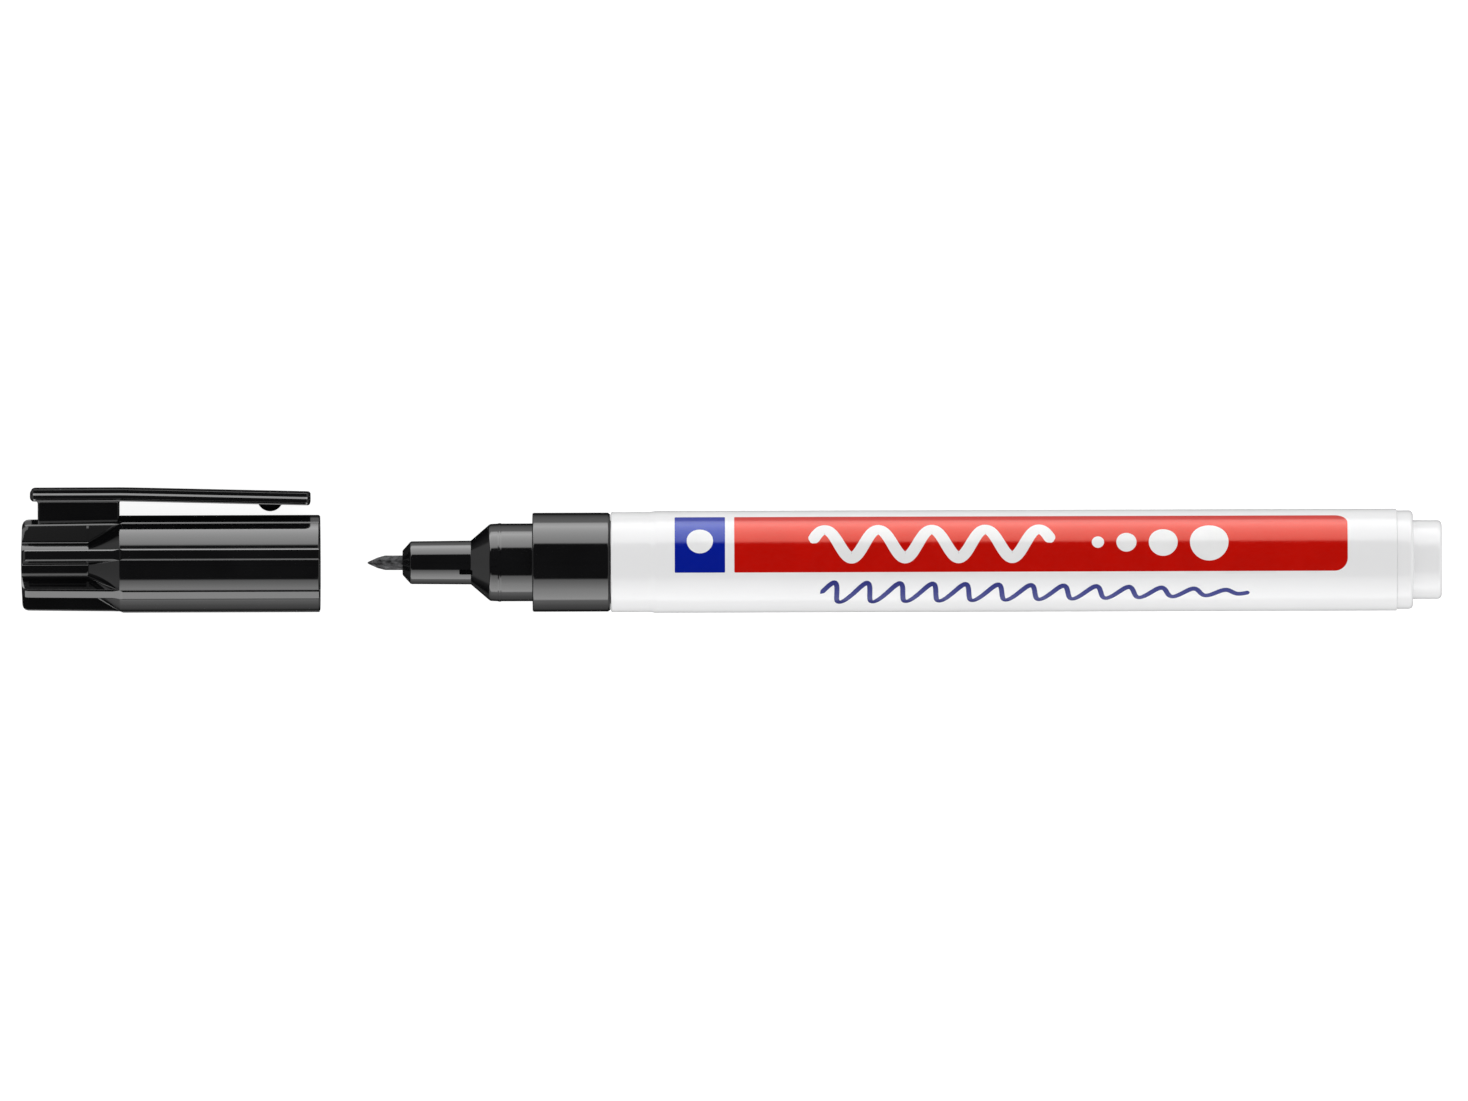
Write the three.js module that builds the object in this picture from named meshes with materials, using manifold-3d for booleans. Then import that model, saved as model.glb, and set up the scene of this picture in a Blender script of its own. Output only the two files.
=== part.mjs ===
// A permanent marker with a round fibre tip, and its pulled-off cap beside it on the same axis.
//
// Millimetres. The marker's axis is the X axis: the nib points to -X, and the origin is the centre
// of the rear end face. The marker lies on its barrel with +Z up, and the cap's clip is at +Y.
//
// The marker is a barrel closed by a front section and an end plug. The front section holds the
// nib, and the barrel holds the ink reservoir, a fibre core in a film. The cap is a ribbed shell
// with an inner cap that seals round the nozzle, and a pocket clip that springs at its root.

import * as THREE from "three";
import { mergeVertices } from "three/addons/utils/BufferGeometryUtils.js";
import Module from "manifold-3d";

const wasm = await Module();
wasm.setup();

// ---- Driving dimensions ------------------------------------------------------------------------

// Lengths along the axis, from the rear end to the cap's closed end
const STUB_LENGTH = 3.3;
const FLANGE_LENGTH = 1.85;
const BARREL_LENGTH = 89.75;
const COLLAR_LENGTH = 8.95;
const SEAT_LENGTH = 4.85;
const CONE_LENGTH = 2.2;
const NOZZLE_LENGTH = 7.8;
const NIB_SHOWING = 4.0;
const CAP_GAP = 5.4;
const CAP_LENGTH = 34.15;

// Outer radii
const STUB_R = 4.5;
const FLANGE_R = 5.63;
const BARREL_R = 5.83;
const BARREL_FRONT_R = 5.73;
const COLLAR_R = 5.65;
const SEAT_R = 4.44;
const NOZZLE_BASE_R = 2.5;
const NOZZLE_TIP_R = 2.44;
const NIB_R = 0.84;
const CAP_R = 5.5;

// Fits
const FIT = 0.04; // radial clearance of a pushed-in piece
const SLIDE_FIT = 0.08; // radial clearance of the cap on its seat
const SEGMENTS = 36; // flats of a round body; one faces each of +Y, -Y, +Z and -Z
const NIB_SEGMENTS = 24;

// Walls
const BARREL_BORE_R = 4.78;
const RESERVOIR_R = 4.2;
const FILM_WALL = 0.12;

// Cap: ribs and flutes at its closed end
const RIB_COUNT = 7;
const RIB_WIDTH = 1.3;
const RIB_TOP = 5.59; // the flat top of a rib on the cylinder, from the axis
const FLUTED_RIB_R = 5.48; // rib envelope where the flutes begin
const END_RIB_R = 5.36; // rib envelope at the closed end
const FLUTE_LENGTH = 7.65;
const RAMP_LENGTH = 3.65;
const CORE_R = 3.2;
const DOME_DEPTH = 0.35;
const END_FLAT_R = 2.0;

// Cap: inside
const CAP_BORE_R = SEAT_R + SLIDE_FIT;
const LEDGE_DEPTH = 8.5; // from the mouth to the ledge that stops the inner cap
const CAVITY_DEPTH = 21.6;
const CAVITY_R = 4.45;
const CORE_HOLE_R = 1.7;
const END_WALL = 1.0;
const INNER_RIB_COUNT = 6;
const INNER_RIB_WIDTH = 0.7;

// Inner cap
const INNER_CAP_DEPTH = 7.3; // from the cap's mouth to the inner cap's mouth
const INNER_CAP_LENGTH = 13.3;
const INNER_CAP_R = 3.3;
const INNER_FLANGE = 1.2;
const SEAL_R = NOZZLE_BASE_R + 0.06;
const SEAL_LENGTH = 7.9;
const NIB_CHAMBER_R = 1.6;
const INNER_WALL = 0.8;

// Clip
const CLIP_WIDTH = 7.2;
const CLIP_BLOCK_WIDTH = 4.0;
const CLIP_THICKNESS = 1.37;
const CLIP_OVERHANG = 1.05; // cap end to the root plate's end
const CLIP_BLOCK_START = 1.92; // cap end to the block
const CLIP_BLOCK_END = 11.35; // cap end to the block's far side, where the arm bends
const CLIP_END = 33.05; // cap end to the arm's tip
const CLIP_UNDERSIDE = 7.23; // the root plate's underside, from the axis
const CLIP_DROP = 0.54; // how much nearer to the axis the tip is than the root
const CLIP_HINGE_GAP = 0.25;
const BUMP_FROM_TIP = 4.6;
const BUMP_R = 1.5;
const BUMP_BOTTOM = 5.93; // the bump's lowest point, from the axis

// Front section
const TAIL_LENGTH = 6.0;
const TAIL_R = BARREL_BORE_R - FIT;
const TAIL_WALL = 0.85;
const SEAT_WALL = 0.94;
const GUIDE_R = 1.7;
const GUIDE_LENGTH = 12.2;
const NIB_BORE_R = NIB_R + 0.06;
const VENT_LENGTH = 1.5;
const VENT_WIDTH = 0.63;
const VENT_ANGLE = -24; // degrees from +Z, away from the clip's side
const SNAP_HEIGHT = 0.04;

// Inside the barrel
const NIB_IN_RESERVOIR = 4.7;
const RESERVOIR_CLEARANCE = 0.5;
const PLUG_SPIGOT_LENGTH = 7.4;
const PLUG_WALL = 1.1;
const BARREL_RIB_COUNT = 6;
const BARREL_RIB_WIDTH = 0.6;

// ---- Stations along the axis -------------------------------------------------------------------

const xStub = -STUB_LENGTH;
const xBarrelRear = xStub - FLANGE_LENGTH;
const xBarrelFront = xBarrelRear - BARREL_LENGTH;
const xShoulder = xBarrelFront - COLLAR_LENGTH;
const xSeatFront = xShoulder - SEAT_LENGTH;
const xNozzleBase = xSeatFront - CONE_LENGTH;
const xNozzleTip = xNozzleBase - NOZZLE_LENGTH;
const xNibTip = xNozzleTip - NIB_SHOWING;
const xMouth = xNibTip - CAP_GAP;
const xCapEnd = xMouth - CAP_LENGTH;
const xTail = xBarrelFront + TAIL_LENGTH;
const xSpigot = xBarrelRear - PLUG_SPIGOT_LENGTH;
const xReservoirFront = xTail + RESERVOIR_CLEARANCE;
const xReservoirRear = xSpigot - RESERVOIR_CLEARANCE;
const xNibRear = xReservoirFront + NIB_IN_RESERVOIR;
const xBend = xCapEnd + CLIP_BLOCK_END;
const xClipTip = xCapEnd + CLIP_END;

// ---- Solids ------------------------------------------------------------------------------------

function solidOf(geometry) {
  const bare = geometry.index ? geometry.toNonIndexed() : geometry.clone();
  bare.deleteAttribute("normal");
  bare.deleteAttribute("uv");
  const merged = mergeVertices(bare, 1e-4);
  return new wasm.Manifold(
    new wasm.Mesh({
      numProp: 3,
      vertProperties: merged.attributes.position.array,
      triVerts: new Uint32Array(merged.index.array),
    }),
  );
}

function geometryOf(solid) {
  const { vertProperties, triVerts } = solid.getMesh();
  const geometry = new THREE.BufferGeometry();
  geometry.setAttribute("position", new THREE.BufferAttribute(vertProperties, 3));
  geometry.setIndex(new THREE.BufferAttribute(triVerts, 1));
  const flat = geometry.toNonIndexed();
  flat.computeVertexNormals();
  return flat;
}

// An outline of [x, radius] pairs turned about the X axis. It runs towards +X along the outside and
// back along the inside. It starts and ends on the axis, or is closed here. The radii are those of
// the flats' middles, so a true circle of that radius touches every flat from inside.
function turned(outline, segments = SEGMENTS) {
  const toCorner = 1 / Math.cos(Math.PI / segments);
  const points = outline.map(([x, r]) => new THREE.Vector2(r * toCorner, x));
  const last = points[points.length - 1];
  if (last.x > 0) points.push(points[0].clone());
  const halfStep = Math.PI / segments; // puts a flat, not an edge, at the bottom
  const lathe = new THREE.LatheGeometry(points, segments, halfStep);
  return solidOf(lathe.rotateZ(-Math.PI / 2));
}

// Points on a round of an outline, about a centre, by angle from +X towards the outside.
function round(x, r, radius, fromDegrees, toDegrees, steps = 3) {
  return Array.from({ length: steps + 1 }, (_, i) => {
    const angle = THREE.MathUtils.degToRad(fromDegrees + ((toDegrees - fromDegrees) * i) / steps);
    return [x + radius * Math.cos(angle), r + radius * Math.sin(angle)];
  });
}

// A bar along the axis from x0 to x1 and from one radius to another, at an angle from +Y towards +Z.
function radialBar(x0, x1, fromR, toR, width, degrees) {
  const bar = new THREE.BoxGeometry(x1 - x0, toR - fromR, width);
  bar.translate((x0 + x1) / 2, (fromR + toR) / 2, 0);
  return solidOf(bar.rotateX(THREE.MathUtils.degToRad(degrees)));
}

function ringOfBars(count, x0, x1, fromR, toR, width, firstDegrees = 0) {
  const bars = Array.from({ length: count }, (_, i) =>
    radialBar(x0, x1, fromR, toR, width, firstDegrees + (i * 360) / count),
  );
  return bars.reduce((all, bar) => all.add(bar));
}

// A side outline of [x, y] pairs given a width along Z, centred on the axis.
function sideCut(outline, width) {
  const shape = new THREE.Shape(outline.map(([x, y]) => new THREE.Vector2(x, y)));
  const geometry = new THREE.ExtrudeGeometry(shape, { depth: width, bevelEnabled: false });
  return solidOf(geometry.translate(0, 0, -width / 2));
}

// ---- The marker --------------------------------------------------------------------------------

function barrel() {
  const leadIn = 4.5;
  const wall = turned([
    [xBarrelFront, BARREL_BORE_R],
    [xBarrelFront, BARREL_FRONT_R - 0.25],
    [xBarrelFront + 0.25, BARREL_FRONT_R],
    [xBarrelFront + leadIn, BARREL_FRONT_R],
    [xBarrelFront + leadIn + 0.6, BARREL_R],
    [xBarrelRear - 0.4, BARREL_R],
    [xBarrelRear, BARREL_R - 0.2],
    [xBarrelRear, BARREL_BORE_R],
  ]);
  const ribs = ringOfBars(
    BARREL_RIB_COUNT,
    xReservoirFront + 2,
    xReservoirRear - 2,
    RESERVOIR_R + 0.1,
    BARREL_BORE_R + 0.2,
    BARREL_RIB_WIDTH,
  );
  return wall.add(ribs);
}

function frontSection() {
  const chamfer = 0.95;
  const snapRise = 0.15;
  const xSnap = xSeatFront + 0.75;
  const cavityR = SEAT_R - SEAT_WALL;
  const tailBoreR = TAIL_R - TAIL_WALL;
  const xFloor = xSeatFront - 0.5;
  const body = turned([
    [xNozzleTip, NIB_BORE_R],
    [xNozzleTip, NOZZLE_TIP_R - chamfer - 0.15],
    ...round(xNozzleTip + 0.3, NOZZLE_TIP_R - chamfer, 0.3, 150, 125, 1),
    [xNozzleTip + chamfer, NOZZLE_TIP_R],
    [xNozzleBase, NOZZLE_BASE_R],
    [xSeatFront - 0.15, SEAT_R - 0.25],
    [xSeatFront + 0.15, SEAT_R - 0.05],
    [xSnap, SEAT_R],
    [xSnap + snapRise, SEAT_R + SNAP_HEIGHT],
    [xSnap + 2 * snapRise, SEAT_R + SNAP_HEIGHT],
    [xSnap + 3 * snapRise, SEAT_R],
    [xShoulder, SEAT_R],
    ...round(xShoulder + 0.25, COLLAR_R - 0.25, 0.25, 180, 90, 2),
    [xBarrelFront - 0.45, COLLAR_R],
    [xBarrelFront - 0.05, COLLAR_R - 0.3],
    [xBarrelFront - 0.05, TAIL_R],
    [xTail - 0.5, TAIL_R],
    [xTail, TAIL_R - 0.25],
    [xTail, tailBoreR],
    [xShoulder + 0.6, tailBoreR],
    [xShoulder, cavityR],
    [xFloor, cavityR],
    [xFloor, GUIDE_R],
    [xFloor + GUIDE_LENGTH, GUIDE_R],
    [xFloor + GUIDE_LENGTH, NIB_BORE_R],
  ]);
  const ventStart = xNozzleBase - 1.3;
  const vent = radialBar(
    ventStart,
    ventStart + VENT_LENGTH,
    NIB_BORE_R / 2,
    NOZZLE_BASE_R + 1,
    VENT_WIDTH,
    90 - VENT_ANGLE,
  );
  return body.subtract(vent);
}

function nib() {
  const pointLength = 1.9;
  return turned(
    [
      [xNibTip, 0],
      [xNibTip + 0.04, 0.11],
      [xNibTip + 0.3 * pointLength, 0.36],
      [xNibTip + 0.7 * pointLength, 0.69],
      [xNibTip + pointLength, NIB_R],
      [xNibRear - 0.3, NIB_R],
      [xNibRear, NIB_R - 0.2],
      [xNibRear, 0],
    ],
    NIB_SEGMENTS,
  );
}

function reservoirFilm() {
  return turned([
    [xReservoirFront, RESERVOIR_R - FILM_WALL],
    [xReservoirFront, RESERVOIR_R],
    [xReservoirRear, RESERVOIR_R],
    [xReservoirRear, RESERVOIR_R - FILM_WALL],
  ]);
}

function inkReservoir() {
  const coreR = RESERVOIR_R - FILM_WALL - FIT;
  const inset = 0.15; // the film stands a little past the core at both ends
  return turned([
    [xNibRear + 0.3, 0],
    [xNibRear + 0.3, NIB_BORE_R],
    [xReservoirFront + inset, NIB_BORE_R],
    [xReservoirFront + inset, coreR - 0.2],
    [xReservoirFront + inset + 0.2, coreR],
    [xReservoirRear - inset - 0.2, coreR],
    [xReservoirRear - inset, coreR - 0.2],
    [xReservoirRear - inset, 0],
  ]);
}

function endPlug() {
  const spigotR = BARREL_BORE_R - FIT;
  const boreR = spigotR - PLUG_WALL;
  const stubRound = 0.55;
  const flangeRound = 0.5;
  const body = turned([
    [xSpigot, boreR],
    [xSpigot, spigotR - 0.3],
    [xSpigot + 0.6, spigotR],
    [xBarrelRear + 0.03, spigotR],
    [xBarrelRear + 0.03, FLANGE_R],
    ...round(xStub - flangeRound, FLANGE_R - flangeRound, flangeRound, 90, 0),
    [xStub, STUB_R],
    ...round(-stubRound, STUB_R - stubRound, stubRound, 90, 0),
    [0, 0],
    [-PLUG_WALL, 0],
    [-PLUG_WALL, boreR - 0.6],
    [-PLUG_WALL - 0.6, boreR],
  ]);
  const stops = ringOfBars(4, xSpigot, -PLUG_WALL, boreR - 1.2, boreR + 0.2, 0.8, 45);
  return body.add(stops);
}

// ---- The cap -----------------------------------------------------------------------------------

// Outline of the cap's closed end out to a radius: a flat, a shallow dome and a rounded edge.
function domedEnd(rimR, edge) {
  const xRim = xCapEnd + DOME_DEPTH;
  return [
    [xCapEnd, 0],
    [xCapEnd, END_FLAT_R],
    ...(rimR - edge > END_FLAT_R ? [[xRim - 0.1, rimR - edge]] : []),
    ...round(xRim - 0.1 + edge, rimR - edge, edge, 150, 90, 2),
  ];
}

function clipRoot() {
  const x0 = xCapEnd + CLIP_OVERHANG;
  const x1 = xBend - CLIP_HINGE_GAP / 2;
  const top = CLIP_UNDERSIDE + CLIP_THICKNESS;
  const plate = sideCut(
    [
      [x0 + 0.35, CLIP_UNDERSIDE],
      [x1, CLIP_UNDERSIDE],
      [x1, top],
      [x0 + 0.5, top],
      [x0, top - 0.5],
      [x0, CLIP_UNDERSIDE + 0.35],
    ],
    CLIP_WIDTH,
  );
  const block = radialBar(
    xCapEnd + CLIP_BLOCK_START,
    x1,
    CORE_R - 0.5,
    CLIP_UNDERSIDE + 0.1,
    CLIP_BLOCK_WIDTH,
    0,
  );
  return plate.add(block);
}

function capShell() {
  const xFlutes = xCapEnd + FLUTE_LENGTH;
  const xRamp = xFlutes + RAMP_LENGTH;
  const body = turned([
    ...domedEnd(CORE_R, 0.3),
    [xFlutes, CORE_R],
    [xRamp, CAP_R],
    [xMouth - 0.2, CAP_R],
    [xMouth, CAP_R - 0.15],
    [xMouth, 0],
  ]);
  const envelope = turned([
    ...domedEnd(END_RIB_R, 0.45),
    [xRamp, FLUTED_RIB_R],
    [xRamp, RIB_TOP + 0.1],
    [xMouth - 0.2, RIB_TOP + 0.1],
    [xMouth, RIB_TOP - 0.1],
    [xMouth, 0],
  ]);
  const ribAngle = 180 / RIB_COUNT; // the clip stands midway between two ribs
  const ribs = ringOfBars(
    RIB_COUNT,
    xCapEnd - 1,
    xMouth + 1,
    END_FLAT_R,
    RIB_TOP,
    RIB_WIDTH,
    ribAngle,
  );
  const cavity = turned([
    [xCapEnd + END_WALL, 0],
    [xCapEnd + END_WALL, CORE_HOLE_R],
    [xMouth - CAVITY_DEPTH - 4, CORE_HOLE_R],
    [xMouth - CAVITY_DEPTH, CAVITY_R],
    [xMouth - LEDGE_DEPTH, CAVITY_R],
    [xMouth - LEDGE_DEPTH, CAP_BORE_R],
    [xMouth - 0.3, CAP_BORE_R],
    [xMouth, CAP_BORE_R + 0.2],
    [xMouth + 1, CAP_BORE_R + 0.2],
    [xMouth + 1, 0],
  ]);
  const innerRibs = ringOfBars(
    INNER_RIB_COUNT,
    xMouth - CAVITY_DEPTH - 1.5,
    xMouth - LEDGE_DEPTH - 0.05,
    INNER_CAP_R + 0.12,
    CAVITY_R + 0.3,
    INNER_RIB_WIDTH,
  );
  return body
    .add(ribs.intersect(envelope))
    .add(clipRoot())
    .subtract(cavity.subtract(innerRibs));
}

function innerCap() {
  const x1 = xMouth - INNER_CAP_DEPTH;
  const x0 = x1 - INNER_CAP_LENGTH;
  const flangeR = CAP_BORE_R - 0.1;
  return turned([
    [x0, 0],
    [x0, INNER_CAP_R - 0.4],
    [x0 + 0.4, INNER_CAP_R],
    [x1 - INNER_FLANGE, INNER_CAP_R],
    [x1 - INNER_FLANGE, flangeR],
    [x1, flangeR],
    [x1, SEAL_R + 0.45],
    [x1 - 0.6, SEAL_R],
    [x1 - SEAL_LENGTH, SEAL_R],
    [x1 - SEAL_LENGTH - 0.5, NIB_CHAMBER_R],
    [x0 + INNER_WALL, NIB_CHAMBER_R],
    [x0 + INNER_WALL, 0],
  ]);
}

function clipArm() {
  const x0 = xBend + CLIP_HINGE_GAP / 2;
  const tipUnderside = CLIP_UNDERSIDE - CLIP_DROP;
  const bar = sideCut(
    [
      [x0, CLIP_UNDERSIDE],
      [xClipTip - 0.2, tipUnderside],
      [xClipTip, tipUnderside + 0.2],
      [xClipTip, tipUnderside + CLIP_THICKNESS - 0.2],
      [xClipTip - 0.2, tipUnderside + CLIP_THICKNESS],
      [x0, CLIP_UNDERSIDE + CLIP_THICKNESS],
    ],
    CLIP_WIDTH,
  );
  const xBump = xClipTip - BUMP_FROM_TIP;
  const ball = new THREE.SphereGeometry(BUMP_R, 20, 12);
  ball.translate(xBump, BUMP_BOTTOM + BUMP_R, 0);
  const belowArm = radialBar(xBump - 2, xBump + 2, BUMP_BOTTOM - 1, tipUnderside + 0.5, CLIP_WIDTH, 0);
  return bar.add(solidOf(ball).intersect(belowArm));
}

// ---- Materials and the assembled part ----------------------------------------------------------

function plastic(color, roughness) {
  return new THREE.MeshStandardMaterial({ color, roughness, metalness: 0 });
}

const blackPlastic = plastic(0x101011, 0.22);
const whitePlastic = plastic(0xf1f1f2, 0.3);
const sealPlastic = plastic(0xd9dadb, 0.45);
const filmPlastic = plastic(0xe6e8ea, 0.35);
const nibFelt = plastic(0x2a2a2c, 0.75);
const inkedFibre = plastic(0x17171b, 0.95);

const part = new THREE.Group();

function place(name, solid, material) {
  const mesh = new THREE.Mesh(geometryOf(solid), material);
  mesh.name = name;
  part.add(mesh);
}

place("barrel", barrel(), whitePlastic);
place("end_plug", endPlug(), whitePlastic);
place("front_section", frontSection(), blackPlastic);
place("nib", nib(), nibFelt);
place("reservoir_film", reservoirFilm(), filmPlastic);
place("ink_reservoir", inkReservoir(), inkedFibre);
place("cap_shell", capShell(), blackPlastic);
place("inner_cap", innerCap(), sealPlastic);
place("clip_arm", clipArm(), blackPlastic);

export default part;
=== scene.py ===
"""A felt tip marker with its cap pulled off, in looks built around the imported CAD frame.

The marker lies along X on a pale floor, seen from above. Lengths in the code are millimetres,
and become metres where a mesh is made. Stations along the axis come from the CAD boxes.
"""

import math

import bmesh
import bpy
import numpy as np
from mathutils import Matrix, Vector


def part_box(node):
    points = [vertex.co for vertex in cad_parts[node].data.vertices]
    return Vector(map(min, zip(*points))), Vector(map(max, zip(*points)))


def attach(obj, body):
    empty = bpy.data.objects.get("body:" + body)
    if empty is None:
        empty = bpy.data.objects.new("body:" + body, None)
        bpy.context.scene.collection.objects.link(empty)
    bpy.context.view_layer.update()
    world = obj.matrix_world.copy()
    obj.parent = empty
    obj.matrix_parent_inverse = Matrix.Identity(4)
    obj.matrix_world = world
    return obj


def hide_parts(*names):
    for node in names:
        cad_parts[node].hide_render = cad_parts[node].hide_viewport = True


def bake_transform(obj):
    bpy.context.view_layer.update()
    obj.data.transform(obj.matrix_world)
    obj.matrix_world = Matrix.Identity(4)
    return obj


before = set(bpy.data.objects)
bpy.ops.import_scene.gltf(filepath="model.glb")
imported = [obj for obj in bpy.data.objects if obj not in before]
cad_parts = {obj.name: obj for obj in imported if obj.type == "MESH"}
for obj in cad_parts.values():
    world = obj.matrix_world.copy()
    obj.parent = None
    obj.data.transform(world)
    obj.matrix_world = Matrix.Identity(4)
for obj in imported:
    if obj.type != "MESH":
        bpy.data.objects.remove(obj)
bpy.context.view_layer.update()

MM = 0.001

# ---- Dimensions, in millimetres -----------------------------------------------------------------


def corners(node):
    """The lowest and highest corner of a CAD node, in millimetres."""
    low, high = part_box(node)
    return low / MM, high / MM


barrel_low, barrel_high = corners("barrel")
front_low, front_high = corners("front_section")
nib_low, nib_high = corners("nib")
plug_low, plug_high = corners("end_plug")
cap_low, cap_high = corners("cap_shell")
seal_low, seal_high = corners("inner_cap")
arm_low, arm_high = corners("clip_arm")

BARREL_R = barrel_high.z
X_BARREL = barrel_low.x
X_PLUG = barrel_high.x
X_MOUTH = cap_high.x
X_CAP_END = cap_low.x
FLOOR_Z = barrel_low.z

# Printed ink: three coats, each a little above the one under it, and the last at the CAD radius
COAT = 0.004
INK_ROOT = 0.05  # how far the coats' undersides lie in the barrel's wall
INK_BASE_R = BARREL_R - 2 * COAT
INK_R = BARREL_R - COAT
INK_TOP_R = BARREL_R
TUBE_R = BARREL_R - 3 * COAT

# Barrel and end plug
BARREL_BORE_R = 4.78
LEAD_LENGTH = 4.5  # the slightly thinner stretch next to the collar
LEAD_DEPTH = 0.1
STUB_LENGTH = 3.3
STUB_R = 4.5
SPIGOT_R = 4.74

# Front section
COLLAR_LENGTH = 8.95
SEAT_LENGTH = 4.85
CONE_LENGTH = 2.2
SEAT_R = 4.44
NOZZLE_BASE_R = 2.5
NOZZLE_TIP_R = 2.44
X_SHOULDER = X_BARREL - COLLAR_LENGTH
X_SEAT = X_SHOULDER - SEAT_LENGTH
X_NOZZLE = X_SEAT - CONE_LENGTH
X_NOZZLE_TIP = front_low.x

# Cap
RIB_COUNT = 7
RIB_WIDTH = 1.3
RIB_TOP = -cap_low.y
RIB_SLOPE_WIDTH = 0.17  # the sloped edge along each side of a rib
RIB_SLOPE_DEPTH = 0.12
RIB_EDGE_ROUND = 0.04
RIB_ROOT_ROUND = 0.25
CAP_R = 5.5
CORE_R = 3.2  # the flutes' floor
FLUTE_END = 7.65  # from the closed end to where the flutes' floor begins to rise
RAMP_END = 11.3  # and to where it has reached CAP_R
CAP_BORE_R = 4.52
CAP_BORE_DEPTH = 8.5

# Clip
CLIP_TOP = cap_high.y
CLIP_THICKNESS = 1.37
CLIP_HALF_WIDTH = arm_high.z
CLIP_DROP = 0.54  # from the bend to the tip
X_CLIP_ROOT = X_CAP_END + 1.05
X_CLIP_TIP = arm_high.x
X_BEND = X_CAP_END + 11.35
X_BLOCK = X_CAP_END + 1.92
X_BLOCK_END = X_BEND - 0.125
BLOCK_WIDTH = 4.0
BUMP_R = 1.5
BUMP_FROM_TIP = 4.6

# ---- Mesh making --------------------------------------------------------------------------------

SHARP_DEGREES = 35  # edges that turn by more than this stay sharp


def rounded(outline, closed=True, steps=5):
    """An outline of (x, y) or (x, y, radius) corners, each radius turned into a curve.

    Every such corner gives steps + 1 points, also where its neighbour lies in the same place."""
    points = []
    count = len(outline)
    for i, corner in enumerate(outline):
        here = Vector(corner[:2])
        is_end = not closed and i in (0, count - 1)
        if len(corner) < 3 or is_end:
            points.append(tuple(here))
            continue
        before = Vector(outline[i - 1][:2]) - here
        after = Vector(outline[(i + 1) % count][:2]) - here
        if min(before.length, after.length) < 1e-6:
            points += [tuple(here)] * (steps + 1)
            continue
        half_angle = before.angle(after) / 2
        reach = corner[2] / math.tan(half_angle)
        reach = min(reach, 0.49 * before.length, 0.49 * after.length)
        start = here + before.normalized() * reach
        end = here + after.normalized() * reach
        for t in np.linspace(0, 1, steps + 1):
            point = start * (1 - t) ** 2 + here * 2 * t * (1 - t) + end * t**2
            points.append(tuple(point))
    return points


def inset_at(distance, radius):
    """How far a rounded end has drawn in, at a distance from the end."""
    past = max(0, radius - distance)
    return radius - math.sqrt(max(0, radius**2 - past**2))


def finish_mesh(name, bm, sharp_degrees=SHARP_DEGREES):
    """A smooth-shaded object from a bmesh in millimetres, with its sharp edges marked."""
    bmesh.ops.remove_doubles(bm, verts=bm.verts, dist=1e-5)
    bmesh.ops.dissolve_degenerate(bm, edges=bm.edges, dist=1e-6)
    bmesh.ops.recalc_face_normals(bm, faces=bm.faces)
    bmesh.ops.scale(bm, vec=(MM, MM, MM), verts=bm.verts)
    mesh = bpy.data.meshes.new(name)
    bm.to_mesh(mesh)
    bm.free()
    for polygon in mesh.polygons:
        polygon.use_smooth = True
    mesh.set_sharp_from_angle(angle=math.radians(sharp_degrees))
    made = bpy.data.objects.new(name, mesh)
    bpy.context.scene.collection.objects.link(made)
    return made


def loft(name, loops, closed_ends=True, around=False, sharp_degrees=SHARP_DEGREES):
    """Closed loops of equal length joined in order. around joins the last to the first."""
    bm = bmesh.new()
    rings = [[bm.verts.new(point) for point in loop] for loop in loops]
    pairs = list(zip(rings, rings[1:]))
    if around:
        pairs.append((rings[-1], rings[0]))
    count = len(rings[0])
    for one, two in pairs:
        for i in range(count):
            j = (i + 1) % count
            bm.faces.new((one[i], one[j], two[j], two[i]))
    if closed_ends and not around:
        for ring in (rings[0], rings[-1]):
            centre = sum((v.co for v in ring), Vector()) / count
            hub = bm.verts.new(centre)
            for i in range(count):
                bm.faces.new((ring[i], ring[(i + 1) % count], hub))
    return finish_mesh(name, bm, sharp_degrees)


def revolve(name, outline, segments, sharp_degrees=SHARP_DEGREES):
    """A closed outline of (x, radius) turned about the X axis."""
    turns = np.linspace(0, 2 * math.pi, segments, endpoint=False)
    loops = [[(x, r * math.cos(a), r * math.sin(a)) for a in turns] for x, r in outline]
    on_axis = outline[0][1] < 1e-9
    return loft(name, loops, closed_ends=False, around=not on_axis, sharp_degrees=sharp_degrees)


def applied(made):
    """Applies an object's modifiers to its mesh."""
    graph = bpy.context.evaluated_depsgraph_get()
    mesh = bpy.data.meshes.new_from_object(made.evaluated_get(graph))
    made.modifiers.clear()
    made.data = mesh
    return made


def combined(made, other, operation):
    """made joined to, or cut by, another object, which is then removed."""
    modifier = made.modifiers.new("combined", "BOOLEAN")
    modifier.object = other
    modifier.operation = operation
    modifier.solver = "EXACT"
    bpy.context.view_layer.update()
    applied(made)
    bpy.data.objects.remove(other)
    made.data.set_sharp_from_angle(angle=math.radians(SHARP_DEGREES))
    return made


# ---- Materials ----------------------------------------------------------------------------------


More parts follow.
